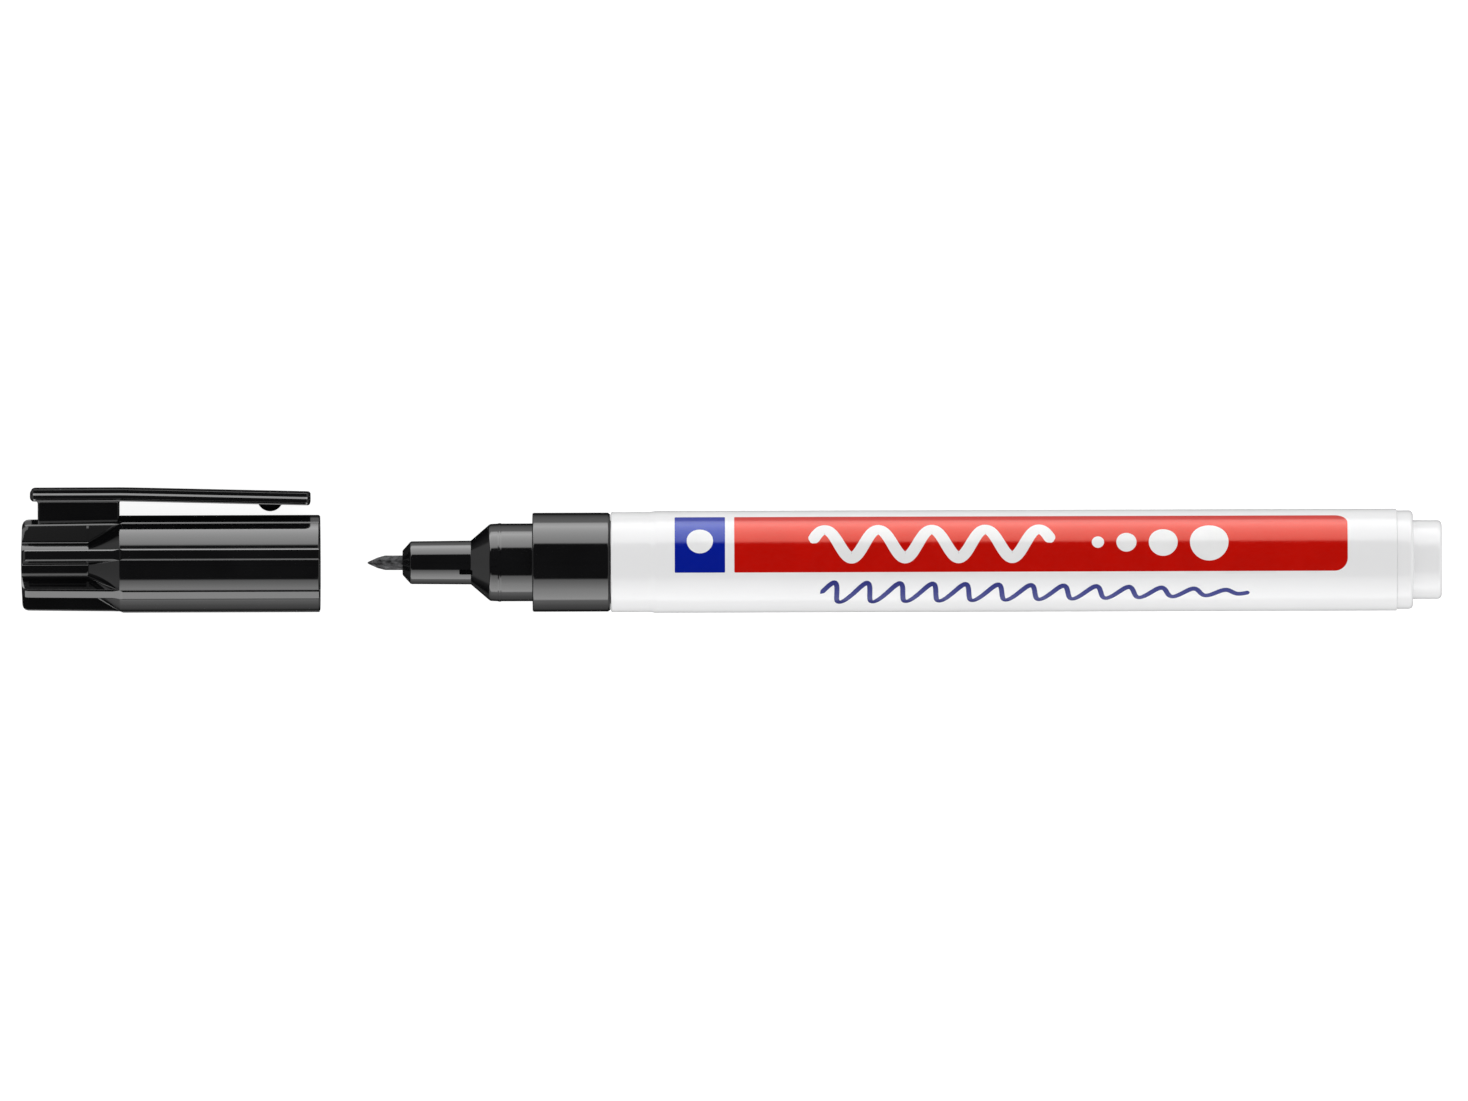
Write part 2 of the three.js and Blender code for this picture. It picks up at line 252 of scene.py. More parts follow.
class Surface:
    """A Principled material with helpers for its node tree."""

    def __init__(self, name, color, roughness, specular=0.5):
        self.material = bpy.data.materials.new(name)
        self.material.use_nodes = True
        tree = self.material.node_tree
        self.nodes = tree.nodes
        self.links = tree.links
        self.shader = next(n for n in self.nodes if n.type == "BSDF_PRINCIPLED")
        self.shader.inputs["Base Color"].default_value = (*color, 1)
        self.shader.inputs["Roughness"].default_value = roughness
        self.shader.inputs["Specular IOR Level"].default_value = specular
        self.coordinates = self.nodes.new("ShaderNodeTexCoord").outputs["Object"]

    def noise(self, size_mm, stretch=(1, 1, 1), detail=3.0):
        """A noise pattern with features about size_mm across, longer where stretch is less."""
        mapping = self.nodes.new("ShaderNodeMapping")
        mapping.inputs["Scale"].default_value = stretch
        texture = self.nodes.new("ShaderNodeTexNoise")
        texture.inputs["Scale"].default_value = 1 / (size_mm * MM)
        texture.inputs["Detail"].default_value = detail
        self.links.new(self.coordinates, mapping.inputs["Vector"])
        self.links.new(mapping.outputs["Vector"], texture.inputs["Vector"])
        return texture.outputs["Fac"]

    def spread(self, pattern, low, high):
        """A pattern spread from low to high. A noise pattern stays mostly within 0.35 to 0.65."""
        node = self.nodes.new("ShaderNodeMapRange")
        node.inputs["From Min"].default_value = 0.35
        node.inputs["From Max"].default_value = 0.65
        node.inputs["To Min"].default_value = low
        node.inputs["To Max"].default_value = high
        self.links.new(pattern, node.inputs["Value"])
        return node.outputs["Result"]

    def tint(self, pattern, dark, light):
        """Colours the surface by a pattern, from dark to light."""
        ramp = self.nodes.new("ShaderNodeValToRGB")
        ramp.color_ramp.elements[0].position = 0.3
        ramp.color_ramp.elements[0].color = (*dark, 1)
        ramp.color_ramp.elements[1].position = 0.7
        ramp.color_ramp.elements[1].color = (*light, 1)
        self.links.new(pattern, ramp.inputs["Fac"])
        self.links.new(ramp.outputs["Color"], self.shader.inputs["Base Color"])

    def roughen(self, pattern, low, high):
        """Varies the roughness by a pattern."""
        self.links.new(self.spread(pattern, low, high), self.shader.inputs["Roughness"])

    def bump(self, pattern, depth_mm, strength=1.0):
        """Raises the surface a little where the pattern is light."""
        node = self.nodes.new("ShaderNodeBump")
        node.inputs["Strength"].default_value = strength
        node.inputs["Distance"].default_value = depth_mm * MM
        self.links.new(pattern, node.inputs["Height"])
        self.links.new(node.outputs["Normal"], self.shader.inputs["Normal"])


def black_plastic():
    surface = Surface("black_plastic", (0.004, 0.004, 0.0045), 0.06)
    surface.tint(surface.noise(6), (0.003, 0.003, 0.0033), (0.005, 0.005, 0.0055))
    surface.roughen(surface.noise(0.9, stretch=(0.4, 1, 1)), 0.045, 0.08)
    surface.bump(surface.noise(1.6, detail=2), 0.002, 0.3)
    return surface.material


def white_plastic():
    surface = Surface("white_plastic", (0.85, 0.85, 0.855), 0.17, specular=0.33)
    surface.tint(surface.noise(9), (0.84, 0.84, 0.845), (0.86, 0.86, 0.865))
    surface.roughen(surface.noise(0.8, stretch=(0.15, 1, 1)), 0.14, 0.21)
    surface.bump(surface.noise(1.2, stretch=(0.1, 1, 1), detail=2), 0.002, 0.08)
    surface.shader.inputs["Subsurface Weight"].default_value = 0.1
    surface.shader.inputs["Subsurface Radius"].default_value = [0.8 * MM] * 3
    return surface.material


def printed_ink(name, color, gloss=(1, 1, 1), specular=0.35):
    """Glossy ink, whose reflections take a tint of their own."""
    surface = Surface(name, color, 0.13, specular)
    dark = [0.93 * c for c in color]
    surface.tint(surface.noise(3), dark, color)
    surface.roughen(surface.noise(0.5), 0.10, 0.16)
    surface.bump(surface.noise(0.12, detail=2), 0.001, 0.25)
    surface.shader.inputs["Specular Tint"].default_value = (*gloss, 1)
    return surface.material


def nib_fibre():
    """Inked fibre with pale specks. Its low IOR keeps the rim dark."""
    surface = Surface("nib_fibre", (0.015, 0.015, 0.017), 0.4)
    fibres = surface.noise(0.32, stretch=(0.5, 1, 1), detail=4)
    surface.tint(fibres, (0.001, 0.001, 0.001), (0.13, 0.13, 0.135))
    surface.roughen(fibres, 0.3, 0.5)
    surface.bump(fibres, 0.08, 1.0)
    surface.shader.inputs["IOR"].default_value = 1.15
    return surface.material


def milky_plastic():
    surface = Surface("milky_plastic", (0.62, 0.63, 0.64), 0.4)
    surface.tint(surface.noise(4), (0.56, 0.57, 0.58), (0.66, 0.67, 0.68))
    surface.roughen(surface.noise(0.7), 0.35, 0.5)
    surface.bump(surface.noise(0.3), 0.003, 0.3)
    return surface.material


def clear_film():
    surface = Surface("film_wrap", (0.8, 0.81, 0.83), 0.15)
    creases = surface.noise(1.5, stretch=(0.2, 1, 1), detail=5)
    surface.tint(creases, (0.70, 0.71, 0.73), (0.82, 0.83, 0.85))
    surface.roughen(creases, 0.1, 0.25)
    surface.bump(creases, 0.02, 0.6)
    return surface.material


def inked_fibre():
    surface = Surface("inked_fibre", (0.012, 0.012, 0.016), 0.8)
    fibres = surface.noise(0.12, stretch=(0.05, 1, 1), detail=5)
    surface.tint(fibres, (0.006, 0.006, 0.009), (0.03, 0.03, 0.04))
    surface.roughen(fibres, 0.7, 0.95)
    surface.bump(fibres, 0.05, 0.8)
    return surface.material


BLACK = black_plastic()
WHITE = white_plastic()
RED_INK = printed_ink("red_ink", (0.56, 0.003, 0.0005), (1.0, 0.38, 0.30), 0.75)
BLUE_INK = printed_ink("blue_ink", (0.0005, 0.010, 0.30), (0.50, 0.60, 1.0), 0.5)
NAVY_INK = printed_ink("navy_ink", (0.002, 0.004, 0.14), (0.5, 0.55, 1.0), 0.3)
WHITE_INK = printed_ink("white_ink", (0.88, 0.88, 0.88))


def even_shading(made):
    """Weights each corner's normal by face area, so a flat face beside a round shades flat."""
    modifier = made.modifiers.new("even_shading", "WEIGHTED_NORMAL")
    modifier.mode = "FACE_AREA"
    modifier.weight = 50
    modifier.keep_sharp = True
    bpy.context.view_layer.update()
    applied(made)


def settle(made, material, body=None, stands_for=()):
    """Gives a piece its material and slot, the body it rides on and the nodes it stands for."""
    even_shading(made)
    made.data.materials.clear()
    made.data.materials.append(material)
    if body:
        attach(made, body)
    if stands_for:
        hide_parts(*stands_for)
    return made


# ---- The marker ---------------------------------------------------------------------------------


def make_barrel():
    lead_r = TUBE_R - LEAD_DEPTH
    x_lead = X_BARREL + LEAD_LENGTH
    taper = 0.6
    outline = rounded([
        (X_BARREL, BARREL_BORE_R),
        (X_BARREL, lead_r, 0.25),
        (x_lead, lead_r, 1.5),
        (x_lead + taper, TUBE_R, 1.5),
        (X_PLUG, TUBE_R, 0.05),
        (X_PLUG, BARREL_BORE_R),
    ])
    tube = revolve("barrel_tube", outline, segments=256)
    return settle(tube, WHITE, "marker", ["barrel"])


def make_end_plug():
    flange_r = plug_high.z
    x_flange = X_PLUG + 0.01  # a hair's breadth off the barrel
    bore = 3.64
    wall = 1.1
    outline = rounded([
        (0, 0),
        (-wall, 0),
        (-wall, bore, 0.6),
        (plug_low.x, bore, 0.1),
        (plug_low.x, SPIGOT_R, 0.4),
        (x_flange, SPIGOT_R),
        (x_flange, flange_r, 0.05),
        (-STUB_LENGTH, flange_r, 0.7),
        (-STUB_LENGTH, STUB_R, 0.12),
        (0, STUB_R, 0.6),
        (0, 0),
    ], closed=False, steps=8)
    plug = revolve("end_plug_body", outline, segments=192)
    return settle(plug, WHITE, "marker", ["end_plug"])


def make_front_section():
    # Outside, from the nozzle's tip to the tail
    chamfer = 0.95
    face_r = NOZZLE_TIP_R - chamfer - 0.1
    x_ring = X_SEAT + 0.9  # the small ring that the cap snaps over
    ring_rise, ring_slope, ring_flat = 0.05, 0.13, 0.14
    collar_r = front_high.z
    x_collar = X_BARREL - 0.05
    bevel_length, bevel_depth = 0.27, 0.22
    x_tail = front_high.x
    lead_length, lead_depth = 0.5, 0.25
    # Inside
    nib_bore = 0.9
    guide_r = 1.7
    x_cavity = X_SEAT - 0.5
    x_guide = x_cavity + 12.2
    cavity_r = 3.5
    tail_bore = 3.89
    outline = rounded([
        (X_NOZZLE_TIP, nib_bore, 0.08),
        (X_NOZZLE_TIP, face_r, 0.25),
        (X_NOZZLE_TIP + chamfer, NOZZLE_TIP_R, 0.35),
        (X_NOZZLE, NOZZLE_BASE_R, 0.12),
        (X_SEAT, SEAT_R - 0.05, 0.55),
        (x_ring, SEAT_R, 0.02),
        (x_ring + ring_slope, SEAT_R + ring_rise, 0.03),
        (x_ring + ring_slope + ring_flat, SEAT_R + ring_rise, 0.03),
        (x_ring + 2 * ring_slope + ring_flat, SEAT_R, 0.02),
        (X_SHOULDER, SEAT_R, 0.08),
        (X_SHOULDER, collar_r, 0.22),
        (x_collar - bevel_length, collar_r, 0.12),
        (x_collar, collar_r - bevel_depth, 0.06),
        (x_collar, SPIGOT_R),
        (x_tail - lead_length, SPIGOT_R),
        (x_tail, SPIGOT_R - lead_depth),
        (x_tail, tail_bore),
        (X_SHOULDER + 0.6, tail_bore),
        (X_SHOULDER, cavity_r),
        (x_cavity, cavity_r),
        (x_cavity, guide_r),
        (x_guide, guide_r),
        (x_guide, nib_bore),
    ], steps=6)
    section = revolve("front_section_body", outline, segments=192)
    cut_vent(section)
    return settle(section, BLACK, "marker", ["front_section"])


def cut_vent(section):
    """Cuts the small slot that lets air into the nozzle, near its base."""
    length, width, depth = 1.5, 0.63, 3.0
    start = X_NOZZLE - 1.3
    lean = math.radians(24)  # round the nozzle, away from the clip's side
    bm = bmesh.new()
    bmesh.ops.create_cube(bm, size=1)
    bmesh.ops.bevel(bm, geom=bm.edges, offset=0.06, segments=3, affect="EDGES")
    bmesh.ops.scale(bm, vec=(length, width, depth), verts=bm.verts)
    bmesh.ops.translate(bm, vec=(start + length / 2, 0, NOZZLE_BASE_R), verts=bm.verts)
    bmesh.ops.rotate(bm, matrix=Matrix.Rotation(lean, 3, "X"), verts=bm.verts)
    combined(section, finish_mesh("vent_cutter", bm), "DIFFERENCE")


def make_nib():
    """The fibre rod, with the slightly uneven skin that pressed fibre has."""
    radius = nib_high.z
    point = 1.9
    shoulder_x, shoulder_r = nib_low.x + 0.62 * point, 0.62
    fine_step = 0.08  # between the rings of the stretch that shows
    outline = rounded([
        (nib_low.x, 0),
        (nib_low.x + 0.03, 0.1, 0.05),
        (shoulder_x, shoulder_r, 1.5),
        (nib_low.x + point + 0.1, radius, 0.8),
        (X_NOZZLE_TIP + 2.0, radius),
        (nib_high.x, radius),
        (nib_high.x, 0),
    ], closed=False, steps=10)
    fine = []
    for (x0, r0), (x1, r1) in zip(outline, outline[1:]):
        shows = x0 < X_NOZZLE_TIP + 1
        pieces = max(1, math.ceil((x1 - x0) / fine_step)) if shows else 1
        fine += [(x0 + (x1 - x0) * k / pieces, r0 + (r1 - r0) * k / pieces) for k in range(pieces)]
    fine.append(outline[-1])
    rod = revolve("nib_rod", fine, segments=96, sharp_degrees=60)
    roughen_rod(rod)
    return settle(rod, nib_fibre(), "marker", ["nib"])


def roughen_rod(rod):
    """Draws a rod's skin in, unevenly, by a few waves round and along it."""
    depth = 0.01  # as a share of the radius
    wave_count = 6
    phases = np.random.default_rng(7).uniform(0, 2 * math.pi, wave_count)
    for vertex in rod.data.vertices:
        x, y, z = (c / MM for c in vertex.co)
        around = math.atan2(z, y)
        waves = sum(
            math.sin((3 + 2 * k) * around + (1.5 + 1.1 * k) * x + phases[k]) / (k + 2)
            for k in range(wave_count)
        )
        scale = 1 - depth * (1 + 0.5 * waves)
        vertex.co.y *= scale
        vertex.co.z *= scale


# ---- Printing on the barrel ---------------------------------------------------------------------


def wrapped(name, grid, top_r, material):
    """A thin coat of ink from a grid of (x, arc) points, laid on the barrel.

    arc is the distance round the barrel from its top line, towards +Y. The coat is a closed slab
    whose underside lies inside the barrel's wall."""
    bm = bmesh.new()

    def on_barrel(x, arc, radius):
        angle = arc / BARREL_R
        return bm.verts.new((x, radius * math.sin(angle), radius * math.cos(angle)))

    def layer(radius):
        return [[on_barrel(x, arc, radius) for x, arc in row] for row in grid]

    top, bottom = layer(top_r), layer(TUBE_R - INK_ROOT)
    rows, columns = len(grid), len(grid[0])
    for i in range(rows - 1):
        for j in range(columns - 1):
            for skin in (top, bottom):
                bm.faces.new((skin[i][j], skin[i + 1][j], skin[i + 1][j + 1], skin[i][j + 1]))
    rim = [(0, j) for j in range(columns)]
    rim += [(i, columns - 1) for i in range(1, rows)]
    rim += [(rows - 1, j) for j in range(columns - 2, -1, -1)]
    rim += [(i, 0) for i in range(rows - 2, 0, -1)]
    for (a, b), (c, d) in zip(rim, rim[1:] + rim[:1]):
        bm.faces.new((top[a][b], top[c][d], bottom[c][d], bottom[a][b]))
    made = finish_mesh(name, bm, sharp_degrees=30)
    return settle(made, material, "marker")


def panel_grid(x0, x1, low, high, radii, rows=64):
    """A rectangle's grid, with its corners rounded: radii are (left, right)."""
    left, right = radii
    grid = []
    for arc in low + (high - low) * (1 - np.cos(np.linspace(0, math.pi, rows))) / 2:
        from_edge = min(arc - low, high - arc)
        ends = (x0 + inset_at(from_edge, left), x1 - inset_at(from_edge, right))
        grid.append([(x, arc) for x in np.linspace(*ends, 12)])
    return grid


def disc_grid(x, middle, radius, rows=40):
    """A disc's grid, closer where its edge turns."""
    grid = []
    for arc in middle + radius * np.sin(np.linspace(-math.pi / 2, math.pi / 2, rows)):
        half = math.sqrt(max(1e-8, radius**2 - (arc - middle) ** 2))
        grid.append([(across, arc) for across in np.linspace(x - half, x + half, 8)])
    return grid


def stroke_grid(points, width, across=6):
    """A pen stroke of one width along a line of (x, arc) points, with round ends."""
    line = np.array(points)
    along = np.gradient(line, axis=0)
    along /= np.linalg.norm(along, axis=1)[:, None]
    side = np.column_stack([-along[:, 1], along[:, 0]])
    travelled = np.r_[0, np.cumsum(np.linalg.norm(np.diff(line, axis=0), axis=1))]
    from_end = np.minimum(travelled, travelled[-1] - travelled)
    half = width / 2
    past = np.clip(half - from_end, 0, half * 0.98)  # so the very end keeps some width
    halves = np.sqrt(half**2 - past**2)
    offsets = np.linspace(-1, 1, across + 1)
    return [
        [tuple(line[i] + side[i] * halves[i] * k) for k in offsets] for i in range(len(line))
    ]


# The printed area round the barrel, as angles from its top line towards +Y
PRINT_LOW = math.radians(-10.1) * BARREL_R
PRINT_HIGH = math.radians(63.1) * BARREL_R
PRINT_MIDDLE = (PRINT_LOW + PRINT_HIGH) / 2
PANEL_X = (-80.8, -10.8)
SQUARE_X = (-87.6, -81.85)
MARKS_MIDDLE = PRINT_MIDDLE - 0.3  # the line that the white marks on the panel stand on
BORDER = 0.32


def make_bordered_patch(name, ends, radii, ink):
    """A patch of ink over the printed area's height, on a white patch that shows as a border."""
    x0, x1 = ends
    border = panel_grid(
        x0 - BORDER,
        x1 + BORDER,
        PRINT_LOW - BORDER,
        PRINT_HIGH + BORDER,
        [r + BORDER for r in radii],
    )
    wrapped(f"{name}_border", border, INK_BASE_R, WHITE_INK)
    wrapped(name, panel_grid(x0, x1, PRINT_LOW, PRINT_HIGH, radii), INK_R, ink)


def make_white_mark(name, grid):
    wrapped(name, grid, INK_TOP_R, WHITE_INK)


def make_wave():
    """A broad white pen stroke on the red panel, a plain wave."""
    start, end = -72.0, -44.5
    turns = 4.5
    swing, width = 1.75, 1.35
    line = [
        (start + (end - start) * p, MARKS_MIDDLE + swing * math.sin(2 * math.pi * turns * p))
        for p in np.linspace(0, 1, 220)
    ]
    make_white_mark("print_wave", stroke_grid(line, width))


def make_dots():
    """A row of white dots of growing size on the red panel."""
    start, gap = -40.0, 1.4
    x = start
    for k, radius in enumerate((0.7, 1.15, 1.65, 2.2)):
        x += radius
        make_white_mark(f"print_dot_{k + 1}", disc_grid(x, MARKS_MIDDLE, radius))
        x += radius + gap


def make_pen_line():
    """A thin blue pen stroke below the panel, a slanted wave that runs out to a straight line."""
    start, end = -71.0, -22.0
    base = math.radians(-37) * BARREL_R
    turns = 13
    swing, width = 1.5, 0.58
    slant = 0.45
    line = []
    for p in np.linspace(0, 1, 420):
        wave = swing * math.sqrt(1 - p) * math.sin(2 * math.pi * turns * p)
        line.append((start + (end - start) * p + slant * wave, base + wave))
    wrapped("print_pen_line", stroke_grid(line, width, across=4), INK_R, NAVY_INK)


def make_printing():
    tight, wide = 0.12, 1.5  # the patches' corner radii
    make_bordered_patch("print_panel", PANEL_X, (tight, wide), RED_INK)
    make_bordered_patch("print_square", SQUARE_X, (tight, tight), BLUE_INK)
    disc = disc_grid(sum(SQUARE_X) / 2, PRINT_MIDDLE, radius=1.5)
    make_white_mark("print_square_disc", disc)
    make_wave()
    make_dots()
    make_pen_line()


# ---- The cap ------------------------------------------------------------------------------------


def half_rib(envelope, floor):
    """Half a rib and half a flute in the rib's own (out, across) directions.

    The rib has parallel sides with sloped edges, and its top is flat or follows the envelope."""
    half = RIB_WIDTH / 2
    floor = min(floor, envelope)
    top = min(RIB_TOP, math.sqrt(envelope**2 - half**2))
    height = max(top - math.sqrt(floor**2 - half**2), 0)
    share = min(1, 0.8 * height / RIB_SLOPE_DEPTH)  # the edges shrink where the rib runs out
    slope_width, slope_depth = RIB_SLOPE_WIDTH * share, RIB_SLOPE_DEPTH * share
    edge_round = RIB_EDGE_ROUND * share
    root = min(RIB_ROOT_ROUND, 0.15 * height)
    foot = math.sqrt((floor + root) ** 2 - (half + root) ** 2)
    meet = math.atan2(half + root, foot)
    crown = half - slope_width - 0.1  # the flat top's half width, up to where it starts to round
    points = [(top, v) for v in np.linspace(0, crown, 3)[:-1]]
    points += rounded([
        (top, crown),
        (top, half - slope_width, edge_round),
        (top - slope_depth, half, edge_round),
        (foot, half),
    ], closed=False, steps=3)
    points += [
        (foot - root * math.sin(a), half + root - root * math.cos(a))
        for a in np.linspace(0, math.pi / 2 - meet, 6)[1:]
    ]
    points += [
        (floor * math.cos(a), floor * math.sin(a))
        for a in np.linspace(meet, math.pi / RIB_COUNT, 9)[1:]
    ]
    return points


def cap_section(x, envelope, floor):
    """One closed loop round the cap, at a distance along it."""
    half = half_rib(envelope, floor)
    whole = [(u, -v) for u, v in reversed(half)][:-1] + half[:-1]
    loop = []
    for k in range(RIB_COUNT):
        turn = 2 * math.pi * (k + 0.5) / RIB_COUNT
        c, s = math.cos(turn), math.sin(turn)
        loop += [(X_CAP_END + x, u * c - v * s, u * s + v * c) for u, v in whole]
    return loop


def make_cap():
    """The ribbed shell: sections through its outside, then rings through its bore."""
    length = X_MOUTH - X_CAP_END
    rib_reach = 5.75  # the ribs' corners, which the flat tops cut off
    wide_bore_r, narrow_bore_r = 4.45, 1.7
    wide_bore_depth, narrow_bore_depth = 21.6, 25.6
    end_wall = 1.0
    # (distance from the closed end, radius) of what bounds the ribs and of the flutes' floor
    envelope = rounded([
        (0, 2.0),
        (0.14, 5.35, 0.85),
        (RAMP_END, 5.48, 0.2),
        (RAMP_END + 0.4, rib_reach, 0.2),
        (length - 0.35, rib_reach),
        (length - 0.1, 5.6),
        (length, 5.38),
    ], closed=False, steps=8)
    floor = rounded([
        (0, CORE_R),
        (FLUTE_END, CORE_R, 0.5),
        (RAMP_END, CAP_R, 0.15),
        (length - 0.18, CAP_R, 0.1),
        (length, CAP_R - 0.14),
    ], closed=False, steps=8)
    stations = {round(x, 4) for x, _ in envelope + floor}
    outside = [
        cap_section(x, np.interp(x, *zip(*envelope)), np.interp(x, *zip(*floor)))
        for x in sorted([*stations, *np.arange(1.5, length - 1, 1.5)])
    ]
    hollow = rounded([
        (length, CAP_BORE_R + 0.2),
        (length - 0.3, CAP_BORE_R, 0.2),
        (length - CAP_BORE_DEPTH, CAP_BORE_R),
        (length - CAP_BORE_DEPTH, wide_bore_r),
        (length - wide_bore_depth, wide_bore_r, 0.5),
        (length - narrow_bore_depth, narrow_bore_r, 0.5),
        (end_wall, narrow_bore_r),
    ], closed=False)
    turns = [math.atan2(z, y) for _, y, z in outside[-1]]
    inside = [
        [(X_CAP_END + x, r * math.cos(a), r * math.sin(a)) for a in turns] for x, r in hollow
    ]
    shell = loft("cap_body", outside + inside, sharp_degrees=40)
    return settle(shell, BLACK, "cap", ["cap_shell"])


def make_inner_cap():
    """The cup that seals round the nozzle, with a flange at its mouth and a chamber behind."""
    x_end, x_mouth = seal_low.x, seal_high.x
    x_floor = x_end + 0.8
    tube_r, flange_r = 3.3, seal_high.z
    seal_r, chamber_r = 2.56, 1.6
    x_flange = x_mouth - 1.2
    outline = rounded([
        (x_end, 0),
        (x_end, tube_r, 0.5),
        (x_flange, tube_r, 0.15),
        (x_flange, flange_r, 0.15),
        (x_mouth, flange_r, 0.2),
        (x_mouth, seal_r + 0.45, 0.2),
        (x_mouth - 0.6, seal_r, 0.4),
        (x_mouth - 7.9, seal_r, 0.3),
        (x_mouth - 8.4, chamber_r, 0.3),
        (x_floor, chamber_r, 0.3),
        (x_floor, 0),
    ], closed=False)
    piece = revolve("inner_cap_body", outline, segments=128)
    return settle(piece, milky_plastic(), "cap", ["inner_cap"])


def clip_outline(inset, side_inset):
    """The clip's section as (up, across) from its middle.

    Its side slopes out a little above half the thickness, where the mould's halves meet, and in
    again at its lower edge."""
    high = CLIP_THICKNESS / 2 - inset
    wide = CLIP_HALF_WIDTH - side_inset
    step, low_step = 0.2, 0.22
    share = high / (CLIP_THICKNESS / 2)  # flattens the whole section towards the bar's ends
    half = rounded([
        (high, 0),
        (high, wide - step, 0.06),
        (0.26 * share, wide - step, 0.02),
        (0.04 * share, wide, 0.02),
        (-0.38 * share, wide, 0.03),
        (-0.56 * share, wide - 0.15, 0.03),
        (-high, wide - low_step, 0.05),
        (-high, 0),
    ], closed=False, steps=4)
    return half + [(u, -v) for u, v in reversed(half)][1:-1]


def clip_arm():
    """The clip's whole bar, from its end over the cap to its tip by the mouth."""
    root_round, tip_round = 0.5, 0.3  # seen from the side
    corner_round = 0.8  # seen from over the clip
    ends = [corner_round * (1 - math.cos(a)) for a in np.linspace(0, math.pi / 2, 14)]
    near = [X_CLIP_ROOT + d for d in ends]
    far = [X_CLIP_TIP - d for d in reversed(ends)]
    between = list(np.linspace(X_CLIP_ROOT + 1, X_CLIP_TIP - 1, 60))
    loops = []
    for x in near + between + far:
        from_root, from_tip = x - X_CLIP_ROOT, X_CLIP_TIP - x
        inset = inset_at(from_root, root_round) + inset_at(from_tip, tip_round)
        side_inset = inset_at(from_root, corner_round) + inset_at(from_tip, corner_round)
        section = clip_outline(inset, side_inset)
        loops.append([(x, clip_middle(x) + u, v) for u, v in section])
    return loft("clip_body", loops)


def clip_middle(x):
    """The height of the bar's middle above the axis: level as far as the bend, then sloping."""
    slope = CLIP_DROP / (X_CLIP_TIP - X_BEND)
    ease = 1.5
    past = x - X_BEND
    run = (past + math.hypot(past, ease)) / 2 - ease / 2
    return CLIP_TOP - CLIP_THICKNESS / 2 - slope * max(0, run)


def clip_block():
    """The block that holds the clip off the cap, flared where it meets the bar."""
    foot = CORE_R
    under_bar = CLIP_TOP - CLIP_THICKNESS
    overlap = 0.3  # how far the block reaches into the bar
    flare = 0.3
    corner = 0.35
    loops = []
    for y in [foot, *np.linspace(under_bar - flare, under_bar + overlap, 9)]:
        spread = inset_at(under_bar - y, flare) if y < under_bar else flare
        x0, x1 = X_BLOCK - spread, X_BLOCK_END + spread
        half = (BLOCK_WIDTH + spread) / 2
        plan = [(x0, -half, corner), (x1, -half, corner), (x1, half, corner), (x0, half, corner)]
        loops.append([(x, y, z) for x, z in rounded(plan)])
    return loft("clip_block", loops)


def clip_bump():
    """The round bump under the bar's tip that grips a pocket's edge."""
    middle = X_CLIP_TIP - BUMP_FROM_TIP
    height = arm_low.y + BUMP_R
    inside_bar = clip_middle(middle) - 0.2
    bm = bmesh.new()
    bmesh.ops.create_icosphere(bm, subdivisions=5, radius=BUMP_R)
    bmesh.ops.translate(bm, vec=(middle, height, 0), verts=bm.verts)
    cut = bmesh.ops.bisect_plane(
        bm,
        geom=bm.verts[:] + bm.edges[:] + bm.faces[:],
        plane_co=(middle, inside_bar, 0),
        plane_no=(0, 1, 0),
        clear_outer=True,
    )
    rim = [e for e in cut["geom_cut"] if isinstance(e, bmesh.types.BMEdge)]
    bmesh.ops.edgeloop_fill(bm, edges=rim)
    return finish_mesh("clip_bump", bm)


def make_clip():
    """The clip in one piece: its block on the cap, and its bar, which slopes past the bend to its
    free tip.
    """
    bar = combined(clip_arm(), clip_block(), "UNION")
    bar = combined(bar, clip_bump(), "UNION")
    settle(bar, BLACK, None, ["clip_arm"])
    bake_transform(bar)
    return bar


make_barrel()
make_end_plug()
make_front_section()
make_nib()
make_printing()
make_cap()
make_inner_cap()
make_clip()

# The hidden pieces keep their CAD meshes
for node, material in (("reservoir_film", clear_film()), ("ink_reservoir", inked_fibre())):
    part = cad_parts[node]
    part.data.materials.clear()
    part.data.materials.append(material)

# ---- Floor, light and camera --------------------------------------------------------------------


def make_floor():
    """A pale floor that glows a little, as a light table does. Gloss sees the studio instead."""
    reach = 6000  # far past what any view shows
    glow = 0.86
    bm = bmesh.new()
    bmesh.ops.create_grid(bm, x_segments=1, y_segments=1, size=reach)
    bmesh.ops.translate(bm, vec=(0, 0, FLOOR_Z), verts=bm.verts)
    floor = finish_mesh("floor", bm)
    surface = Surface("pale_floor", (0.35, 0.35, 0.35), 0.9, specular=0.0)
    surface.tint(surface.noise(400), (0.34, 0.34, 0.34), (0.36, 0.36, 0.36))
    surface.shader.inputs["Emission Color"].default_value = (1, 1, 1, 1)
    surface.shader.inputs["Emission Strength"].default_value = glow
    floor.data.materials.append(surface.material)
    floor.visible_glossy = False


